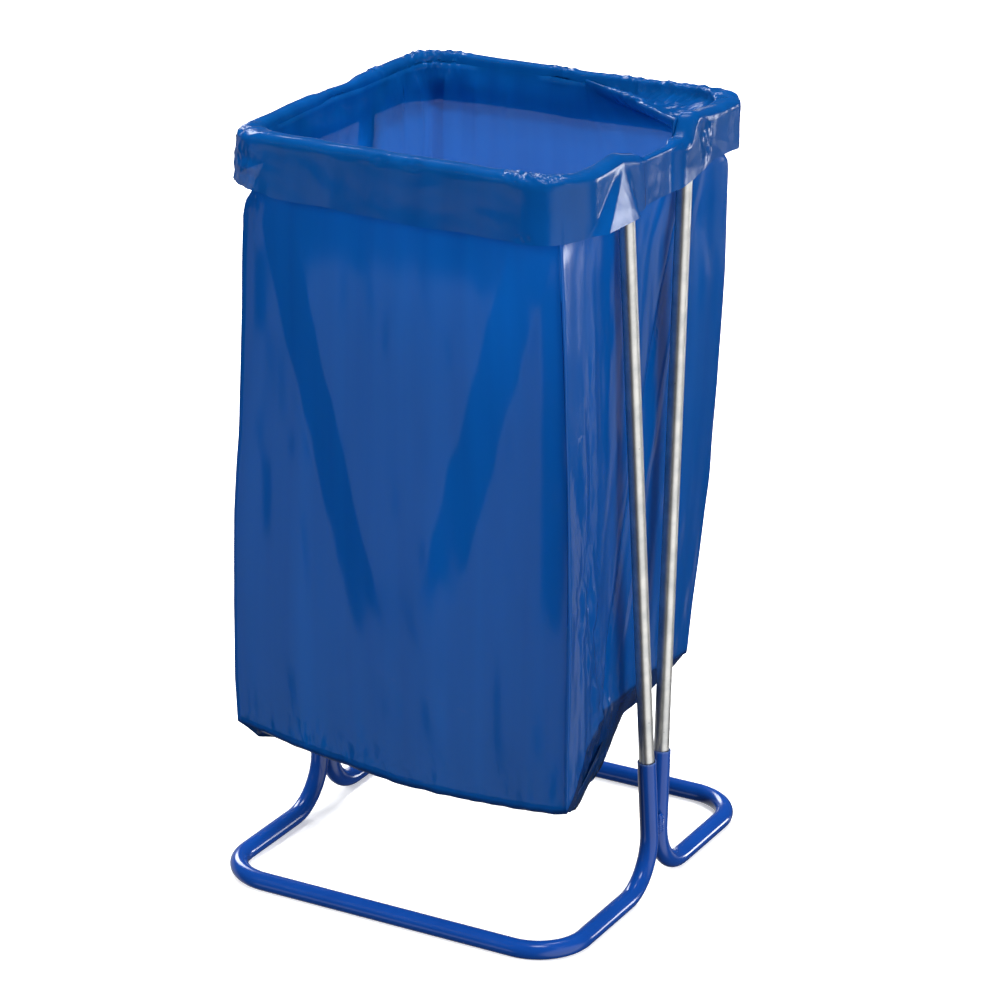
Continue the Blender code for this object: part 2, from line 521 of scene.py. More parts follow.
def facets(across, up, spacing, seed, count=5):
    """Crumpled film: triangle waves in several directions, so flat facets meet in creases."""
    dice = np.random.default_rng(seed)
    wander = value_noise(across / (spacing * 2.1) + 7, up / (spacing * 2.1) + 3, seed + 50)
    total = np.zeros_like(across)
    for _ in range(count):
        turn = dice.uniform(0, math.pi)
        size = spacing * dice.uniform(0.7, 1.7)
        run = (math.cos(turn) * across + math.sin(turn) * up) / size
        run = run + dice.uniform(0, 1) + 0.45 * wander
        total += np.abs(run - np.floor(run) - 0.5) * 4 - 1
    return total / count


def along_line(x, z, start, end):
    """For points on a panel: how far along a line they are, and how far to its right."""
    way = np.subtract(end, start)
    length = math.hypot(*way)
    way = way / length
    dx, dz = x - start[0], z - start[1]
    return (dx * way[0] + dz * way[1]) / length, dx * way[1] - dz * way[0]


# Where the film was gathered: place, reach across, reach up and how much (1 is creased hard).
CRUMPLES = (
    (0.155, -0.200, 0.909, 0.035, 0.008, 1.0), (-0.190, 0.195, 0.905, 0.045, 0.030, 1.0),
    (-0.197, 0.120, 0.870, 0.022, 0.030, 0.8), (-0.205, 0.090, 0.908, 0.014, 0.012, 0.9),
    (-0.210, -0.200, 0.870, 0.036, 0.070, 1.0), (0.120, 0.200, 0.903, 0.085, 0.020, 1.0),
    (-0.020, 0.205, 0.905, 0.022, 0.012, 0.9), (-0.020, -0.216, 0.903, 0.010, 0.006, 0.8),
    (0.020, -0.216, 0.903, 0.014, 0.006, 0.9), (0.212, 0.050, 0.893, 0.014, 0.010, 0.9),
    (0.213, 0.105, 0.880, 0.012, 0.026, 0.9), (0.160, -0.217, 0.842, 0.010, 0.006, 0.7),
    (-0.195, -0.010, 0.900, 0.020, 0.016, 0.6), (0.195, 0.200, 0.905, 0.030, 0.010, 0.6),
)
RIGHT, REAR, LEFT, FRONT = range(4)
FILM_CLEAR = 0.8 * MM
LEG_CLEAR = 1.2 * MM
# The front's tension bands: half their width, and how far the film between them stands out.
BAND_HALF, BAND_RISE = 0.024, 0.0105
# The fold over the rail on each side: 1 is round, and less is squarer.
FOLD_CRISP = (0.3, 0.4, 0.8, 0.2)
# The bottom seal: its place front to back, its height, and how much higher its ends are.
SEAL_PLACE, SEAL_HEIGHT, SEAL_RISE = -0.010, 0.172, 0.038
# How far from the rear right corner the mouth leaves the side rail and the rear rail.
BRIDGE_SIDE, BRIDGE_REAR = 0.125, 0.188
# The facet over the front upright: its peak, its slope, and its width at the hem.
TENT_PEAK, TENT_SLOPE = -0.094, 0.20
TENT_HALF, TENT_DROP, TENT_EDGE = 0.040, 0.062, 0.014
# How much closer the columns stand at the corners.
CORNER_DENSITY = 0.45
COLUMNS = 592
CUFF_ROWS = 24
FOLD_ROWS = 14
POCKET_ROWS = 10
WALL_ROWS = 98
TUCK_ROWS = 8
FOOT_ROWS = 12
WALL_LEVELS = np.linspace(0.14, 0.93, 80)


def tent_facet(side, y):
    """1 on the flat facet of the cuff below the front upright, 0 away from it."""
    return (side == RIGHT) * smooth_step(-np.abs(y + 0.108), -0.075, -0.055)


class Film:
    """The sack's film as a grid: columns run round it, rows from the cuff's hem to the seal.

    Columns run from the front right corner along the right side, the rear, the left side and
    the front.
    """

    def __init__(self, props):
        self.props = props
        self.top = rail_height(props)
        self.wide = rail_half_spacing(props)
        self.deep = rail_reach(props)
        self.roll = props.rail_tube / 2 + FILM_CLEAR
        run = np.arange(COLUMNS) / COLUMNS * 4
        self.side = np.floor(run).astype(int)
        even = run - self.side
        self.share = even - CORNER_DENSITY * np.sin(2 * math.pi * even) / (2 * math.pi)
        bend = props.rail_corner
        self.outer = self.rail_ring(self.roll, (bend + self.roll, 0.030, bend, 0.032))
        self.inner = self.rail_ring(-self.roll, (bend - self.roll,) * 4)
        self.rail = (self.outer + self.inner) / 2
        ahead = np.roll(self.rail, -1, 0) - np.roll(self.rail, 1, 0)
        self.out = np.stack([ahead[:, 1], -ahead[:, 0]], 1)
        self.out /= np.linalg.norm(self.out, axis=1)[:, None]
        self.shape_rim()
        self.stack = np.array([self.wall_ring(z) for z in WALL_LEVELS])

    # -- rings

    def ring(self, corners, before, after, chamfer):
        """A closed ring through four corners: the right front, right rear, left rear and left
        front. Each bend starts "before" its corner and ends "after" it."""
        corners = np.asarray(corners, float)
        points = np.zeros((COLUMNS, 2))
        for side in range(4):
            here = self.side == side
            following = (side + 1) % 4
            start, end = corners[side], corners[following]
            length = np.linalg.norm(end - start)
            arc_a, arc_b = 0.81 * after[side], 0.81 * before[following]
            straight = length - after[side] - before[following]
            run = self.share[here] * (arc_a + straight + arc_b)
            place = start + np.outer(after[side] + np.clip(run - arc_a, 0, straight),
                                     (end - start) / length)
            first, last = run < arc_a, run > arc_a + straight
            place[first] = self.bend(corners, side, before, after, chamfer,
                                     0.5 + 0.5 * run[first] / arc_a)
            place[last] = self.bend(corners, following, before, after, chamfer,
                                    0.5 * (run[last] - arc_a - straight) / arc_b)
            points[here] = place
        return points

    def rail_ring(self, offset, bends):
        """A ring beside the rails: outside them for a positive offset, inside for a negative."""
        x, y = self.wide + offset, self.deep + offset
        return self.ring([(x, -y), (x, y), (-x, y), (-x, -y)], bends, bends, [0.0] * 4)

    def bend(self, corners, k, before, after, chamfer, t):
        """The bend at one corner, from t = 0 before it to t = 1 after it."""
        corner = corners[k]
        back, ahead = corners[k - 1], corners[(k + 1) % 4]
        a = corner + (back - corner) / np.linalg.norm(back - corner) * before[k]
        b = corner + (ahead - corner) / np.linalg.norm(ahead - corner) * after[k]
        middle = (a + b) / 2
        pull = corner + (middle - corner) * chamfer[k]
        t = t[:, None]
        weight = 0.72
        low, mid, high = (1 - t) ** 2, 2 * weight * t * (1 - t), t**2
        return (low * a + mid * pull + high * b) / (low + mid + high)

    def wall_corners(self, height):
        """Where the sack's four upright edges are at a height, as cut and gusset draw them."""
        levels = (0.15, 0.24, 0.34, 0.45, 0.56, 0.70, 0.86, 0.90)
        inner = self.wide - self.roll
        edge = self.deep - self.roll
        front_x = (0.207, 0.208, 0.209, 0.208, 0.206, 0.200, inner - 0.004, inner)
        left_x = (0.228, 0.231, 0.231, 0.227, 0.219, 0.210, 0.205, inner)
        front_y = (0.188, 0.191, 0.193, 0.195, 0.196, 0.198, edge, edge)
        rear_x = (0.186, 0.190, 0.192, 0.195, 0.197, 0.198, inner + 0.002, inner)
        rear_y = (0.148, 0.155, 0.170, 0.184, 0.198, 0.208, 0.209, edge)
        at = [float(np.interp(height, levels, row)) for row in
              (front_x, left_x, front_y, rear_x, rear_y)]
        slack = 0.012 * float(smooth_step(np.float64(self.top - height), 0.08, 0.30))
        return [(at[0], -at[2]), (at[3], at[4]), (-at[3] - slack, at[4]), (-at[1], -at[2])]

    def wall_ring(self, height):
        """The wall at a height: rounded like the rails at the top, creased edges lower down.
        At the rear right it cuts across the rail's corner, which its mouth never settled into.
        """
        crisp = float(smooth_step(np.float64(self.top - height), 0.0, 0.045))
        bridge = 1 - float(smooth_step(np.float64(self.top - height), 0.0, 0.075))
        bend = (self.props.rail_corner - self.roll) * (1 - crisp) + 0.0045 * crisp
        before = [bend, bend + (BRIDGE_SIDE - bend) * bridge, bend, bend]
        after = [bend, bend + (BRIDGE_REAR - bend) * bridge, bend, bend]
        return self.ring(self.wall_corners(height), before, after, [0, 0.8 * bridge, 0, 0])

    def wall_at(self, heights):
        """The wall ring's place at each column's own height."""
        step = WALL_LEVELS[1] - WALL_LEVELS[0]
        place = np.clip((heights - WALL_LEVELS[0]) / step, 0, len(WALL_LEVELS) - 1.001)
        low = place.astype(int)
        part = (place - low)[:, None]
        column = np.arange(COLUMNS)
        return self.stack[low, column] * (1 - part) + self.stack[low + 1, column] * part

    # -- heights round the mouth

    def shape_rim(self):
        """Sets, for each column, how the rim sags, how free of the rail it is, where the cuff's
        hem hangs and how far the mouth stands off the rail as a pocket."""
        x, y = self.rail[:, 0], self.rail[:, 1]
        right, rear, left, front = (self.side == k for k in range(4))
        rim = np.zeros(COLUMNS)
        sag_right = np.interp(
            y, (-0.135, -0.094, -0.041, 0.013, 0.047, 0.064, 0.080, 0.105, 0.150),
            (0.0, 0.003, -0.010, -0.013, -0.013, -0.019, 0.009, 0.004, 0.0))
        sag_left = np.interp(y, (-0.20, -0.09, -0.03, 0.04, 0.10, 0.16, 0.20),
                             (0.0, 0.0020, 0.0030, 0.0010, 0.001, 0.0, 0.0))
        rim[right] = sag_right[right]
        rim[left] = sag_left[left]
        rim[rear] = np.interp(x[rear], (0.0, 0.10, 0.18, 0.20), (0.0, 0.0, 0.002, 0.003))
        self.rim = self.blur(rim, 3) + 0.0006 * self.waver(11, 5)
        free = np.zeros(COLUMNS)
        between = smooth_step(-np.abs(y), -0.056, -0.028)
        free[right] = between[right]
        free[left] = 0.5 * between[left]
        self.free = free
        self.grip = 1 - 0.62 * free
        hem = np.full(COLUMNS, 0.838)
        hem[right] = np.interp(y[right], (-0.19, -0.131, -0.055, 0.034, 0.066, 0.119, 0.184),
                               (0.838, 0.842, 0.839, 0.838, 0.843, 0.853, 0.849))
        hem[rear] = np.interp(x[rear], (-0.2, 0.2), (0.846, 0.848))
        hem[left] = np.interp(y[left], (-0.2, 0.0, 0.2), (0.853, 0.850, 0.846))
        hem[front] = np.interp(x[front], (-0.2, -0.15, 0.0, 0.2), (0.850, 0.841, 0.837, 0.837))
        self.hem = self.blur(hem, 4) + 0.0012 * self.waver(9, 8)
        cut = np.zeros(COLUMNS)
        cut[right] = smooth_step(y[right], 0.062, 0.082)
        cut[rear] = smooth_step(x[rear], 0.005, 0.055)
        self.pocket = self.blur(cut, 2)

    def blur(self, values, times):
        for _ in range(times):
            values = (np.roll(values, 1) + 2 * values + np.roll(values, -1)) / 4
        return values

    def waver(self, columns, seed):
        """Smooth noise round the sack, with a new value every few columns."""
        return value_noise(np.arange(COLUMNS) / columns, np.zeros(COLUMNS), seed)

    # -- the lower edge

    def lower_edge(self):
        """Height of the fold where the wall turns under the sack."""
        ring = self.wall_at(np.full(COLUMNS, 0.2))
        x, y = ring[:, 0], ring[:, 1]
        edge = np.zeros(COLUMNS)
        right, rear, left, front = (self.side == k for k in range(4))
        edge[front] = np.interp(
            x[front], (-0.225, -0.121, -0.022, 0.031, 0.084, 0.187, 0.207),
            (0.182, 0.165, 0.154, 0.153, 0.155, 0.163, 0.168))
        edge[right] = np.interp(
            y[right], (-0.19, -0.165, -0.125, -0.09, -0.05, 0.045, 0.13),
            (0.168, 0.180, 0.214, 0.229, 0.240, 0.246, 0.236))
        edge[rear] = 0.232 - 0.012 * np.cos(x[rear] / 0.19 * math.pi / 2)
        edge[left] = np.interp(y[left], (-0.19, -0.12, 0.0, 0.13), (0.182, 0.214, 0.236, 0.232))
        return self.blur(edge, 3)

    # -- grid

    def rows(self):
        """Every row as (points, the part of the sack it is in, its distance from the hem)."""
        top = self.top + self.rim
        made = []
        middle, half = self.rail, (self.outer - self.inner) / 2 * self.grip[:, None]
        hem_out = self.hem_out()
        for i in range(CUFF_ROWS):
            t = i / CUFF_ROWS
            drop = (top - self.hem) * (1 - t)
            splay = (1 - t) ** 0.8 * (1 - 0.9 * self.free)[:, None]
            lean = (self.outer - middle - half) * splay + self.out * (
                hem_out * (1 - t) ** 1.2 + self.tent(drop))[:, None]
            made.append((np.column_stack([middle + half + lean, top - drop]), "cuff"))
        crisp = self.blur(np.choose(self.side, FOLD_CRISP), 6)
        for i in range(FOLD_ROWS):
            turn = math.pi * i / FOLD_ROWS
            across, rise = np.full((2, COLUMNS), [[math.cos(turn)], [math.sin(turn)]])
            if math.cos(turn) < 0:
                across, rise = -np.abs(across) ** crisp, rise ** crisp
            row = np.column_stack([middle + half * across[:, None],
                                   top + self.roll * self.grip * rise])
            made.append((row, "fold"))
        inner = np.column_stack([middle - half, top])
        wall_top = self.wall_at(top)
        hang = self.pocket[:, None]
        start = inner.copy()
        start[:, :2] = inner[:, :2] * (1 - hang) + wall_top * hang
        start[:, 2] = top - 0.002 * (1 - self.pocket) + 0.004 * self.pocket
        for i in range(POCKET_ROWS):
            t = i / POCKET_ROWS
            row = inner * (1 - t) + start * t
            row[:, 2] -= self.pocket * 0.016 * math.sin(math.pi * min(t * 1.08, 1.0))
            made.append((row, "pocket"))
        edge = self.edge = self.lower_edge()
        for i in range(WALL_ROWS):
            t = i / WALL_ROWS
            t = 0.88 * t + 0.12 * t * t
            height = start[:, 2] * (1 - t) + edge * t
            ring = self.wall_at(height)
            settle = smooth_step(start[:, 2] - height, 0.0, 0.09)
            settle = np.maximum(settle, self.pocket)[:, None]
            held = start[:, :2] * (1 - settle) + ring * settle
            made.append((np.column_stack([held, height]), "wall"))
        foot = np.column_stack([self.wall_at(edge), edge])
        ridge = self.under_ridge(foot)
        seal = foot.copy()
        seal[:, 0] *= 0.84
        seal[:, 1] = SEAL_PLACE
        seal[:, 2] = SEAL_HEIGHT + SEAL_RISE * (seal[:, 0] / 0.17) ** 2
        for i in range(TUCK_ROWS):
            t = i / TUCK_ROWS
            made.append((foot * (1 - t) + ridge * t, "foot"))
        for i in range(FOOT_ROWS + 1):
            t = i / FOOT_ROWS
            row = ridge * (1 - t) + seal * t
            row[:, 2] -= 0.006 * math.sin(math.pi * t)
            made.append((row, "foot"))
        return made

    def under_ridge(self, foot):
        """The lower fold: at the sides the wall turns in under the sack before it turns flat."""
        ridge = foot.copy()
        y = foot[:, 1]
        drop = np.interp(
            y, (-0.185, -0.150, -0.110, -0.057, -0.037, 0.002, 0.021, 0.048, 0.087, 0.142),
            (0.166, 0.153, 0.143, 0.146, 0.156, 0.192, 0.208, 0.208, 0.207, 0.216))
        across = np.isin(self.side, (0, 2))
        ridge[:, 2] = np.where(across, np.minimum(drop, foot[:, 2] - 0.002), foot[:, 2] - 0.004)
        ridge[:, 2] = self.blur(ridge[:, 2], 3)
        tuck = 0.205 - 0.030 * smooth_step(y, -0.19, -0.06)
        ridge[:, 0] = np.sign(foot[:, 0]) * np.minimum(np.abs(foot[:, 0]), tuck)
        ridge[:, 1] *= np.where(across, 0.985, 0.975)
        return ridge

    def hem_out(self):
        """How far the cuff's hem stands out from the rails, in flat facets."""
        x, y = self.rail[:, 0], self.rail[:, 1]
        out = np.full(COLUMNS, 0.002)
        right, front = self.side == RIGHT, self.side == FRONT
        out[right] = np.interp(y[right], (-0.20, -0.16, -0.135, -0.05, 0.00, 0.05, 0.10, 0.17),
                               (0.002, 0.001, 0.001, 0.001, 0.000, 0.001, 0.001, 0.0))
        out[front] = np.interp(x[front], (-0.20, -0.15, -0.06, 0.03, 0.10, 0.16, 0.20),
                               (0.000, 0.001, 0.001, 0.003, 0.0012, 0.003, 0.002))
        return out + (1 - tent_facet(self.side, y)) * 0.0008 * self.waver(8, 21)

    def tent(self, drop):
        """Film drawn over the front upright: a flat three-cornered facet below its peak."""
        y = self.rail[:, 1]
        width = TENT_HALF * drop / TENT_DROP
        middle = TENT_PEAK - 0.32 * drop
        beside = np.maximum(np.abs(y - middle) - width, 0) / TENT_EDGE
        return (self.side == RIGHT) * TENT_SLOPE * drop * np.clip(1 - beside, 0, 1)

    def grid(self):
        made = self.rows()
        points = np.array([row for row, _ in made])
        parts = np.array([part for _, part in made])
        self.drape(points, parts)
        return points, parts

    def drape(self, points, parts):
        """Moves the film in and out: tension bands, gusset valleys, waves and crumples."""
        x, y, z = points[..., 0], points[..., 1], points[..., 2]
        side = np.broadcast_to(self.side, x.shape)
        wide = np.broadcast_to(self.run_round(), x.shape)
        ahead = np.roll(points, -1, 1) - np.roll(points, 1, 1)
        out = np.stack([ahead[..., 1], -ahead[..., 0]], -1)
        out /= np.linalg.norm(out, axis=-1)[..., None] + 1e-12
        wall, foot, cuff = ((parts == name)[:, None] for name in ("wall", "foot", "cuff"))
        over = np.isin(parts, ("fold", "pocket"))[:, None]
        below = np.cumsum(foot, 0)
        held = (wall | foot) * np.clip(1 - below / (TUCK_ROWS + 4), 0, 1)
        hung = held * smooth_step(self.top - z, 0.02, 0.14)

        push = np.zeros_like(x)
        self.draw_front(push, x, z, (side == FRONT) * hung)
        self.fold_gusset(push, y, z, (side == RIGHT) * hung, lean=1.0, deep=1.0, seed=41)
        self.fold_gusset(push, y, z, (side == LEFT) * hung, lean=0.0, deep=0.9, seed=43)
        handled = self.handle_right(push, y, z, (side == RIGHT) * hung)
        self.hang_pleats(push, points, wall, wide)
        rear = (side == REAR) * hung
        push += rear * 0.004 * value_noise(x / 0.08 + 9, z / 0.22, 61)
        push += rear * 0.006 * smooth_step(-np.abs(x), -0.17, 0.0)

        # all of it: soft waves, then crumples where it was bent and handled
        push += hung * 0.0006 * value_noise(wide / 0.016, z / 0.05, 71)
        crumple = self.crumple(points, parts)
        coarse = facets(wide, z + 0.4 * y * foot, 0.024, 81)
        fine = facets(wide, z, 0.010, 82)
        near_rail = smooth_step(z, self.top - 0.10, self.top - 0.03) * ~cuff
        clear = 0.25 * cuff - near_rail
        push += ~over * crumple * (0.0026 * coarse + 0.0016 * fine + 0.0042 * clear)
        loose = cuff * (1 - tent_facet(side, y))
        push += loose * 0.0007 * facets(wide, z * 1.6, 0.060, 85, 3)
        push = np.where(cuff, np.maximum(push, -0.5 * FILM_CLEAR), push)
        self.crumpled = np.clip(crumple + 0.25 * np.abs(handled), 0, 1)
        points[..., 0] += push * out[..., 0]
        points[..., 1] += push * out[..., 1]
        self.keep_inside_legs(points, wall)
        across = np.broadcast_to(np.linspace(0, 0.045, len(points))[:, None] * 6, x.shape)
        raised = np.clip(0.35 + facets(wide, across, 0.010, 83, 3), 0, 1.3)
        points[..., 2] += over * crumple * 0.0026 * raised
        points[..., 2] += foot * 0.0015 * facets(wide, x - y, 0.030, 84)

    def draw_front(self, push, x, z, front):
        """Film drawn tight from the two front rail corners bulges between two slanting bands."""
        reach_l, off_l = along_line(x, z, (-0.162, 0.815), (-0.060, 0.385))
        reach_r, off_r = along_line(x, z, (0.157, 0.819), (0.050, 0.430))
        fade_l = smooth_step(-reach_l, -1.25, -0.75)
        fade_r = smooth_step(-reach_r, -1.50, -0.90)
        inside = even_step(-off_l, BAND_HALF) * even_step(off_r, BAND_HALF)
        push += front * BAND_RISE * (inside * np.minimum(fade_l, fade_r) - 0.25)
        push -= front * 0.004 * smooth_step(x, 0.168, 0.205) * smooth_step(z, 0.36, 0.46)
        push += front * 0.0018 * value_noise(x / 0.075 + 5, z / 0.24, 31)
        push += front * 0.0007 * value_noise(x / 0.028, z / 0.11 + x / 0.05, 32)

    def fold_gusset(self, push, y, z, here, lean, deep, seed):
        """A side panel's middle crease hangs inward. With lean 1 it runs forward as it falls."""
        crease = np.interp(z, (0.20, 0.234, 0.31, 0.478, 0.548, 0.656, 0.764, 0.86),
                           (-0.060, -0.059, -0.050, -0.006, 0.014, 0.051, 0.088, 0.115))
        crease = crease * lean - 0.012 * (1 - lean)
        depth = deep * np.interp(z, (0.18, 0.28, 0.60, 0.78, 0.87),
                                 (0.010, 0.015, 0.015, 0.010, 0.002))
        ahead_of = np.clip(1 - (y - crease) / (0.20 - crease), 0, 1)
        behind = np.clip(1 - (crease - y) / (crease + 0.19), 0, 1)
        push -= here * depth * np.where(y > crease, ahead_of, behind)
        push -= here * 0.0050 * np.exp(-np.abs(y - crease) / 0.0045)
        push += here * 0.0022 * value_noise(y / 0.05, z / 0.20 - y / 0.09, seed)
        ridge = np.exp(-((y - crease - 0.028) / 0.010) ** 2)
        push += here * 0.0030 * ridge * smooth_step(z, 0.25, 0.40)

    def handle_right(self, push, y, z, here):
        """Facets down the right panel beside its front edge. Gives how strong they are."""
        near_front = np.exp(-((y + 0.115 - 0.035 * np.sin(z * 9)) / 0.040) ** 2)
        handled = here * near_front * smooth_step(-z, -0.80, -0.62)
        push += handled * 0.0036 * facets(y + 0.1 * z, z * 0.30, 0.034, 51, 4)
        push += handled * smooth_step(-z, -0.55, -0.40) * 0.0034 * facets(
            y + 0.15 * z, z * 0.50, 0.021, 52, 4)
        return handled

    def hang_pleats(self, push, points, wall, wide):
        """Pleats hang from where the mouth was gathered, at the rear left and on the left."""
        x, y, z = points[..., 0], points[..., 1], points[..., 2]
        falling = np.exp(-np.maximum(self.top - z, 0) / 0.13) * wall
        falling = falling * smooth_step(self.top - z, 0.004, 0.03)
        gathered = np.exp(-(((x + 0.19) / 0.10) ** 2 + ((y - 0.20) / 0.10) ** 2))
        run = wide + 0.04 * (self.top - z)
        pleat = np.abs((run / 0.043) % 1 - 0.5) * 2
        push -= 0.0105 * falling * gathered * pleat ** 1.6
        middle = np.maximum(1 - np.abs(y + 0.012) / 0.09, 0)
        push -= 0.008 * ((self.side == LEFT) * falling * middle)

    def keep_inside_legs(self, points, wall):
        """Presses the wall against the inner side of the plated legs instead of through them."""
        x, y, z = points[..., 0], points[..., 1], points[..., 2]
        props = self.props
        low = props.base_tube / 2
        rise = np.clip((z - low) / (self.top - low), 0, 1)
        leg_x = leg_half_spacing(props) * (1 - rise) + self.wide * rise
        leg_y = props.leg_start + math.tan(props.leg_lean) * (z - low)
        reach = leg_y + 0.014 + 0.05 * smooth_step(z, self.top - 0.06, self.top)
        limit = leg_x - props.rail_tube / 2 - LEG_CLEAR
        limit = limit + 0.45 * np.maximum(np.abs(y) - reach, 0)
        x[:] = np.where(wall & (x > limit), limit, x)
        x[:] = np.where(wall & (x < -limit), -limit, x)

    def run_round(self):
        """Each column's distance round the rails from the first one."""
        step = np.linalg.norm(np.roll(self.rail, -1, 0) - self.rail, axis=1)
        return np.concatenate([[0], np.cumsum(step)[:-1]])

    def crumple(self, points, parts):
        """How crumpled the film is, 0 to 1: at the rail corners, the pocket and the foot."""
        x, y, z = points[..., 0], points[..., 1], points[..., 2]
        cuff = np.isin(parts, ("cuff", "fold", "pocket"))[:, None]
        total = np.zeros_like(x)
        for spot_x, spot_y, spot_z, reach, tall, much in CRUMPLES:
            away = ((x - spot_x) ** 2 + (y - spot_y) ** 2) / reach**2 + (
                (z - spot_z) / tall) ** 2
            total = np.maximum(total, much * np.exp(-away * away))
        total = np.maximum(total, 0.05 * cuff)
        above = z - np.broadcast_to(self.edge, z.shape)
        lower_left = np.exp(-((x + 0.10) / 0.09) ** 2) * np.exp(-np.abs(above) / 0.020)
        at_foot = 0.30 * np.exp(-np.abs(above) / 0.030) + 0.75 * lower_left
        total = np.maximum(total, at_foot * (parts == "wall")[:, None])
        return total

    def mesh(self, name):
        points, parts = self.grid()
        rows, columns = points.shape[:2]
        mesh = bpy.data.meshes.new(name)
        index = np.arange(rows * columns).reshape(rows, columns)
        right = np.roll(index, -1, 1)
        faces = np.stack([index[:-1], index[1:], right[1:], right[:-1]], -1).reshape(-1, 4)
        mesh.from_pydata(points.reshape(-1, 3).tolist(), [], faces.tolist())
        mesh.shade_smooth()
        run = np.append(self.run_round(), 0)
        run[-1] = run[-2] * 2 - run[-3]
        down = np.zeros((rows, columns))
        step = np.linalg.norm(np.diff(points, axis=0), axis=2)
        down[1:] = np.cumsum(step, axis=0)
        corner_run = np.stack([run[:-1], run[:-1], run[1:], run[1:]], -1)
        corner_run = np.broadcast_to(corner_run, (rows - 1, columns, 4))
        beside = np.roll(down, -1, 1)
        corner_down = np.stack([down[:-1], down[1:], beside[1:], beside[:-1]], -1)
        chart = np.stack([corner_run, corner_down], -1).reshape(-1, 2)
        mesh.uv_layers.new(name="film").data.foreach_set("uv", chart.ravel())
        # The film's layer count. The foot's 3 also drives the painted shade under the sack in the
        # film material.
        layers = np.ones((rows, columns))
        layers[np.isin(parts, ("cuff", "fold"))] = 2.0
        layers[parts == "foot"] = 3.0
        for label, values in (("crumple", self.crumpled), ("layers", layers)):
            store(mesh, label, values.ravel().astype(np.float32))
        return mesh


# ------------------------------------------------------------------ properties


def size_prop(name, description, default):
    return bpy.props.FloatProperty(
        name=name, description=description, default=default, unit="LENGTH")


def colour_prop(name, what, default):
    return bpy.props.StringProperty(
        name=name, description=f"sRGB hex colour {what}", default=default)


class TubeSizes(bpy.types.PropertyGroup):
    """Sizes and colours of the tube stand."""

    base_tube: size_prop("Base tube", "Outside diameter of the base tubes", 0.022)
    base_wall: size_prop("Base wall", "Wall thickness of the base tubes", 0.0012)
    base_bend: size_prop("Base bend", "Bend radius of the base tubes", 0.060)
    rail_tube: size_prop("Rail tube", "Outside diameter of the plated tubes", 0.018)
    rail_wall: size_prop("Rail wall", "Wall thickness of the plated tubes", 0.001)
    rail_corner: size_prop("Rail corner", "Bend radius of the rails' level corners", 0.055)
    rail_bend: size_prop("Rail bend", "Bend radius where a rail turns down into its leg", 0.045)
    rail_spacing: size_prop("Rail spacing", "Distance between the side rails' centrelines", 0.410)
    leg_start: size_prop("Leg start", "A leg's distance from the middle at the floor", 0.0068)
    leg_lean: bpy.props.FloatProperty(
        name="Leg lean", description="How far each leg leans from upright",
        default=math.radians(4.44), subtype="ANGLE", unit="ROTATION")
    socket_top: size_prop("Socket top", "Height of the base tubes' mouths", 0.168)
    plug_end: size_prop("Plug end", "Height of the plated tubes' lower ends", 0.108)
    coat_colour: colour_prop("Coat colour", "of the coating", "#0B3C88")
    coat_dark: colour_prop("Coat shade", "of the coating's darker clouds", "#0A3780")
    zinc_colour: colour_prop("Zinc colour", "of the plating", "#D9D6CF")
    zinc_dark: colour_prop("Zinc shade", "of the plating's dull clouds", "#B9B9B6")


class FilmLook(bpy.types.PropertyGroup):
    """Colours and size of the film sack."""

    film_colour: colour_prop("Film colour", "of the film", "#034A8A")
    film_dark: colour_prop("Film shade", "where the film is thicker", "#02417C")
    film_glow: colour_prop("Film glow", "of light that comes through", "#0858B0")
    film_glow_dark: colour_prop("Film glow shade", "of light through thicker film", "#064FA2")
    # The folded-film colour stands for stacked layers and is also painted shade under the sack.
    film_folds_and_shade: colour_prop("Film folded", "where several layers lie together", "#071A3C")
    flat_width: size_prop("Flat girth", "Distance round the film tube before it is opened", 1.64)
    flat_length: size_prop("Flat length", "Length of the sack from mouth to seal", 1.05)


# ------------------------------------------------------------------ operators


def give_piece(piece, body, replaced):
    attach(piece, body)
    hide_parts(replaced)


class BAGHOLDER_OT_base_loops(bpy.types.Operator):
    """Build the two coated base loops"""

    bl_idname = "bagholder.base_loops"
    bl_label = "Base loops"

    def execute(self, context):
        props = context.scene.bag_holder_tubes
        coat = powder_coat(props)
        for name, half in HALVES.items():
            piece = bent_tube(f"{name}_base_tube", base_corners(props, half),
                              props.base_tube, props.base_wall, coat, BASE_BEND_STEPS)
            give_piece(piece, "stand", f"{name}_base_loop")
        return {"FINISHED"}


class BAGHOLDER_OT_upper_frames(bpy.types.Operator):
    """Build the two plated upper frames"""

    bl_idname = "bagholder.upper_frames"
    bl_label = "Upper frames"

    def execute(self, context):
        props = context.scene.bag_holder_tubes
        zinc = zinc_plate(props)
        for name, half in HALVES.items():
            piece = bent_tube(f"{name}_rail_tube", upper_corners(props, half),
                              props.rail_tube, props.rail_wall, zinc, UPPER_BEND_STEPS)
            give_piece(piece, "stand", f"{name}_upper_frame")
        return {"FINISHED"}


class BAGHOLDER_OT_welds(bpy.types.Operator):
    """Build the weld runs that join the two base loops"""

    bl_idname = "bagholder.welds"
    bl_label = "Weld runs"

    def execute(self, context):
        coat = powder_coat(context.scene.bag_holder_tubes)
        for name, side in SIDES.items():
            piece = weld_bead(f"{name}_weld_run", side, coat)
            give_piece(piece, "stand", f"{name}_leg_weld")
        return {"FINISHED"}


class BAGHOLDER_OT_sack(bpy.types.Operator):
    """Build the film sack that hangs from the rails"""

    bl_idname = "bagholder.sack"
    bl_label = "Film sack"

    def execute(self, context):
        look = context.scene.bag_holder_film
        film = Film(context.scene.bag_holder_tubes)
        mesh = film.mesh("film_sack")
        mesh.materials.append(sack_film(look))
        piece = link_object("film_sack", mesh)
        give_piece(piece, "sack", "plastic_sack")
        return {"FINISHED"}


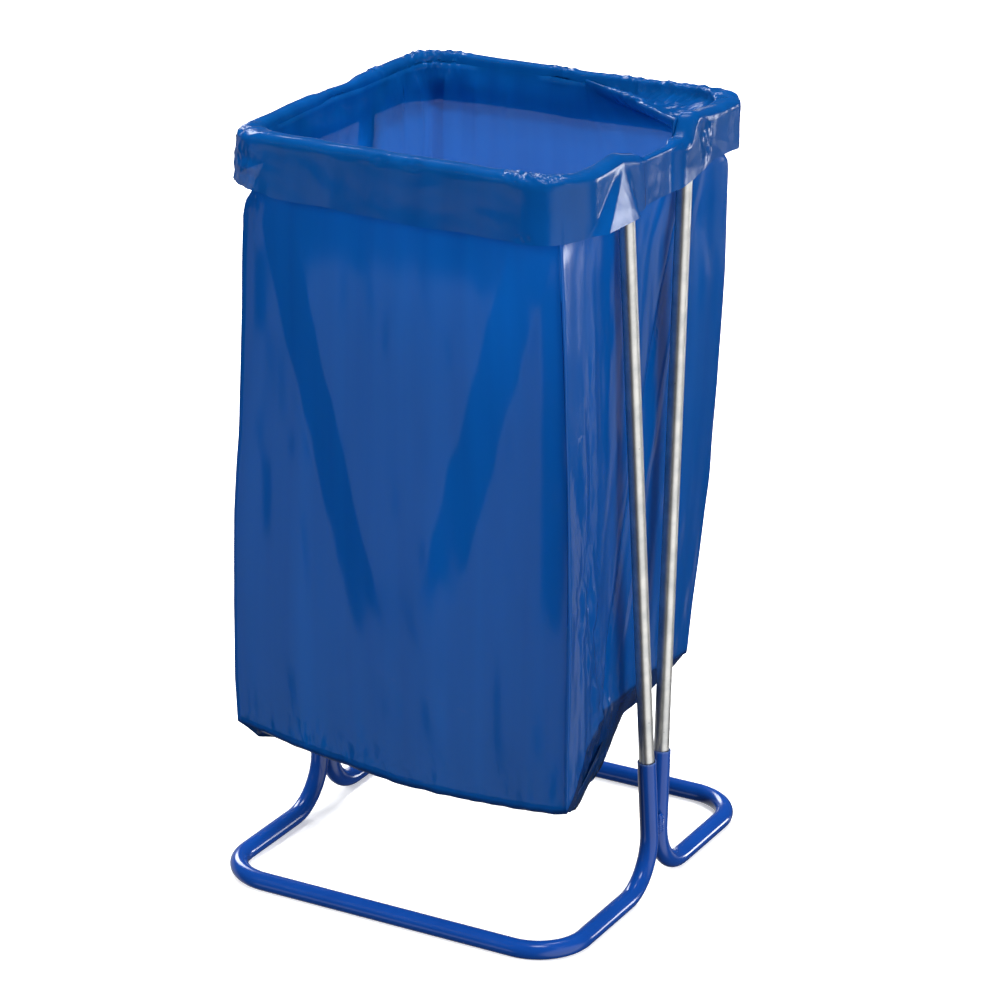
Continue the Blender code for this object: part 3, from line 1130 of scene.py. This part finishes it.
# Each light: its place, what it is aimed at, its width and height, and its watts.
SOFTBOXES = (
    ("key softbox", (-2.6, -4.0, 2.6), (0, 0, 0.5), (2.2, 2.2), 225),
    ("side softbox", (4.0, -1.2, 2.4), (0, 0, 0.5), (1.6, 2.4), 190),
    ("top softbox", (0.0, 0.3, 4.0), (0, 0, 0.6), (3.2, 3.0), 160),
    ("rear softbox", (-1.6, 3.8, 2.6), (0, 0, 0.5), (1.6, 1.6), 110),
)


def softbox(name, place, aim, size, power):
    """A soft light aimed at a point. It isn't mirrored: the room's cards make the highlights."""
    lamp = bpy.data.lights.new(name, "AREA")
    lamp.shape = "RECTANGLE"
    lamp.size, lamp.size_y = size
    lamp.energy = power
    box = link_object(name, lamp)
    box.visible_glossy = False
    way = Vector(aim) - Vector(place)
    turn = way.to_track_quat("-Z", "Y").to_matrix().to_4x4()
    box.matrix_world = Matrix.Translation(place) @ turn


ROOM_GLOW = 0.06
# Each card: the way to it, how many degrees it reaches and how bright it is.
ROOM_CARDS = (
    ((-0.446, -0.82, -0.41), 10.0, 0.92),
    ((0.547, 0.823, -0.140), 5.0, 17.0),
    ((0.915, -0.186, -0.358), 36.0, 1.50),
    ((-0.83, 0.42, -0.358), 32.0, 0.50),
    ((0.247, 0.90, -0.358), 6.0, 0.50),
    ((-0.086, 0.316, 0.940), 10.0, 12.0),
    ((-0.678, 0.542, 0.496), 10.0, 12.0),
    ((0.188, -0.267, 0.947), 8.0, 10.0),
    ((-0.42, 0.90, -0.08), 9.0, 1.4),
)


def studio_room():
    """A dim room with pale cards standing in it, for the film and the plating to reflect."""
    world = bpy.data.worlds.new("studio room")
    world.use_nodes = True
    world.node_tree.nodes.clear()
    node = partial(add_node, world.node_tree)
    way = node("ShaderNodeTexCoord").outputs["Generated"]
    total = ROOM_GLOW
    for direction, reach, glow in ROOM_CARDS:
        aim = Vector(direction).normalized()
        facing = node("ShaderNodeVectorMath", {0: way, 1: aim}, operation="DOT_PRODUCT")
        low, high = math.cos(math.radians(reach * 1.35)), math.cos(math.radians(reach * 0.75))
        card = node(
            "ShaderNodeMapRange",
            {"Value": facing.outputs["Value"], "From Min": low, "From Max": high, "To Min": 0.0,
             "To Max": glow},
            interpolation_type="SMOOTHSTEP",
        )
        total = node("ShaderNodeMath", {0: card, 1: total}, operation="ADD")
    sky = node("ShaderNodeBackground", {"Color": linear("#F4F6FA"), "Strength": total})
    node("ShaderNodeOutputWorld", {"Surface": sky})
    return world


SWEEP_SIDES = 64
# Each ring of the sweep: its radius and its height.
SWEEP = ((9.0, 0.0), (12.0, 0.0), (13.2, 0.35), (13.9, 1.1), (14.2, 2.4), (14.2, 9.0))


def paper_sweep():
    """A round floor that curves up into a wall far behind the lights."""
    shape = bmesh.new()
    rings = []
    for reach, height in SWEEP:
        turns = [2 * math.pi * k / SWEEP_SIDES for k in range(SWEEP_SIDES)]
        rings.append([
            shape.verts.new((reach * math.cos(a), reach * math.sin(a), height)) for a in turns
        ])
    shape.faces.new(rings[0])
    for level, (lower, upper) in enumerate(zip(rings, rings[1:])):
        for face in band(shape, lower, upper):
            face.material_index = int(level > 0)
    bmesh.ops.recalc_face_normals(shape, faces=shape.faces)
    bmesh.ops.reverse_faces(shape, faces=shape.faces)
    mesh = mesh_of(shape, "floor")
    mesh.materials.append(pale_paper("studio floor", 0.45))
    mesh.materials.append(pale_paper("studio wall", 1.0))
    return link_object("floor", mesh)


CAMERA_PLACE = (2.0408, -3.7327, 2.0715)
CAMERA_ANGLES = (28.49, 20.95, 0.63)
CAMERA_LENS = 141.1


def aimed_camera():
    """The camera, turned round the stand from its front, raised and rolled, in degrees."""
    eye = bpy.data.cameras.new("camera")
    eye.lens = CAMERA_LENS
    eye.sensor_width = 36.0
    camera = link_object("camera", eye)
    turn, rise, roll = (math.radians(a) for a in CAMERA_ANGLES)
    back = Vector((math.sin(turn) * math.cos(rise), -math.cos(turn) * math.cos(rise),
                   math.sin(rise)))
    level = Vector((math.cos(turn), math.sin(turn), 0.0))
    upright = back.cross(level)
    right = level * math.cos(roll) + upright * math.sin(roll)
    up = upright * math.cos(roll) - level * math.sin(roll)
    aimed = Matrix((right, up, back)).transposed().to_4x4()
    camera.matrix_world = Matrix.Translation(CAMERA_PLACE) @ aimed
    return camera


class BAGHOLDER_OT_stage(bpy.types.Operator):
    """Set up the floor, the soft lights and the camera"""

    bl_idname = "bagholder.stage"
    bl_label = "Stage"

    def execute(self, context):
        scene = context.scene
        scene.view_settings.view_transform = "Standard"
        floor = paper_sweep()
        floor.visible_glossy = False
        floor.visible_diffuse = False
        floor.visible_shadow = False
        scene.world = studio_room()
        for light in SOFTBOXES:
            softbox(*light)
        scene.camera = aimed_camera()
        return {"FINISHED"}


class BAGHOLDER_PT_panel(bpy.types.Panel):
    """Lists the bag holder's pieces"""

    bl_idname = "BAGHOLDER_PT_panel"
    bl_label = "Plastic Bag Holder"
    bl_space_type = "VIEW_3D"
    bl_region_type = "UI"
    bl_category = "Bag Holder"

    def draw(self, context):
        scene = context.scene
        for group in (scene.bag_holder_tubes, scene.bag_holder_film):
            box = self.layout.box()
            for name in group.__annotations__:
                box.prop(group, name)
        for operator in OPERATORS:
            self.layout.operator(operator.bl_idname)


OPERATORS = (
    BAGHOLDER_OT_base_loops,
    BAGHOLDER_OT_upper_frames,
    BAGHOLDER_OT_welds,
    BAGHOLDER_OT_sack,
    BAGHOLDER_OT_stage,
)
CLASSES = (TubeSizes, FilmLook, *OPERATORS, BAGHOLDER_PT_panel)


def register():
    for item in CLASSES:
        bpy.utils.register_class(item)
    bpy.types.Scene.bag_holder_tubes = bpy.props.PointerProperty(type=TubeSizes)
    bpy.types.Scene.bag_holder_film = bpy.props.PointerProperty(type=FilmLook)


def unregister():
    del bpy.types.Scene.bag_holder_film
    del bpy.types.Scene.bag_holder_tubes
    for item in reversed(CLASSES):
        bpy.utils.unregister_class(item)


def main():
    register()
    bpy.ops.bagholder.base_loops()
    bpy.ops.bagholder.upper_frames()
    bpy.ops.bagholder.welds()
    bpy.ops.bagholder.sack()
    bpy.ops.bagholder.stage()


if __name__ == "__main__":
    main()
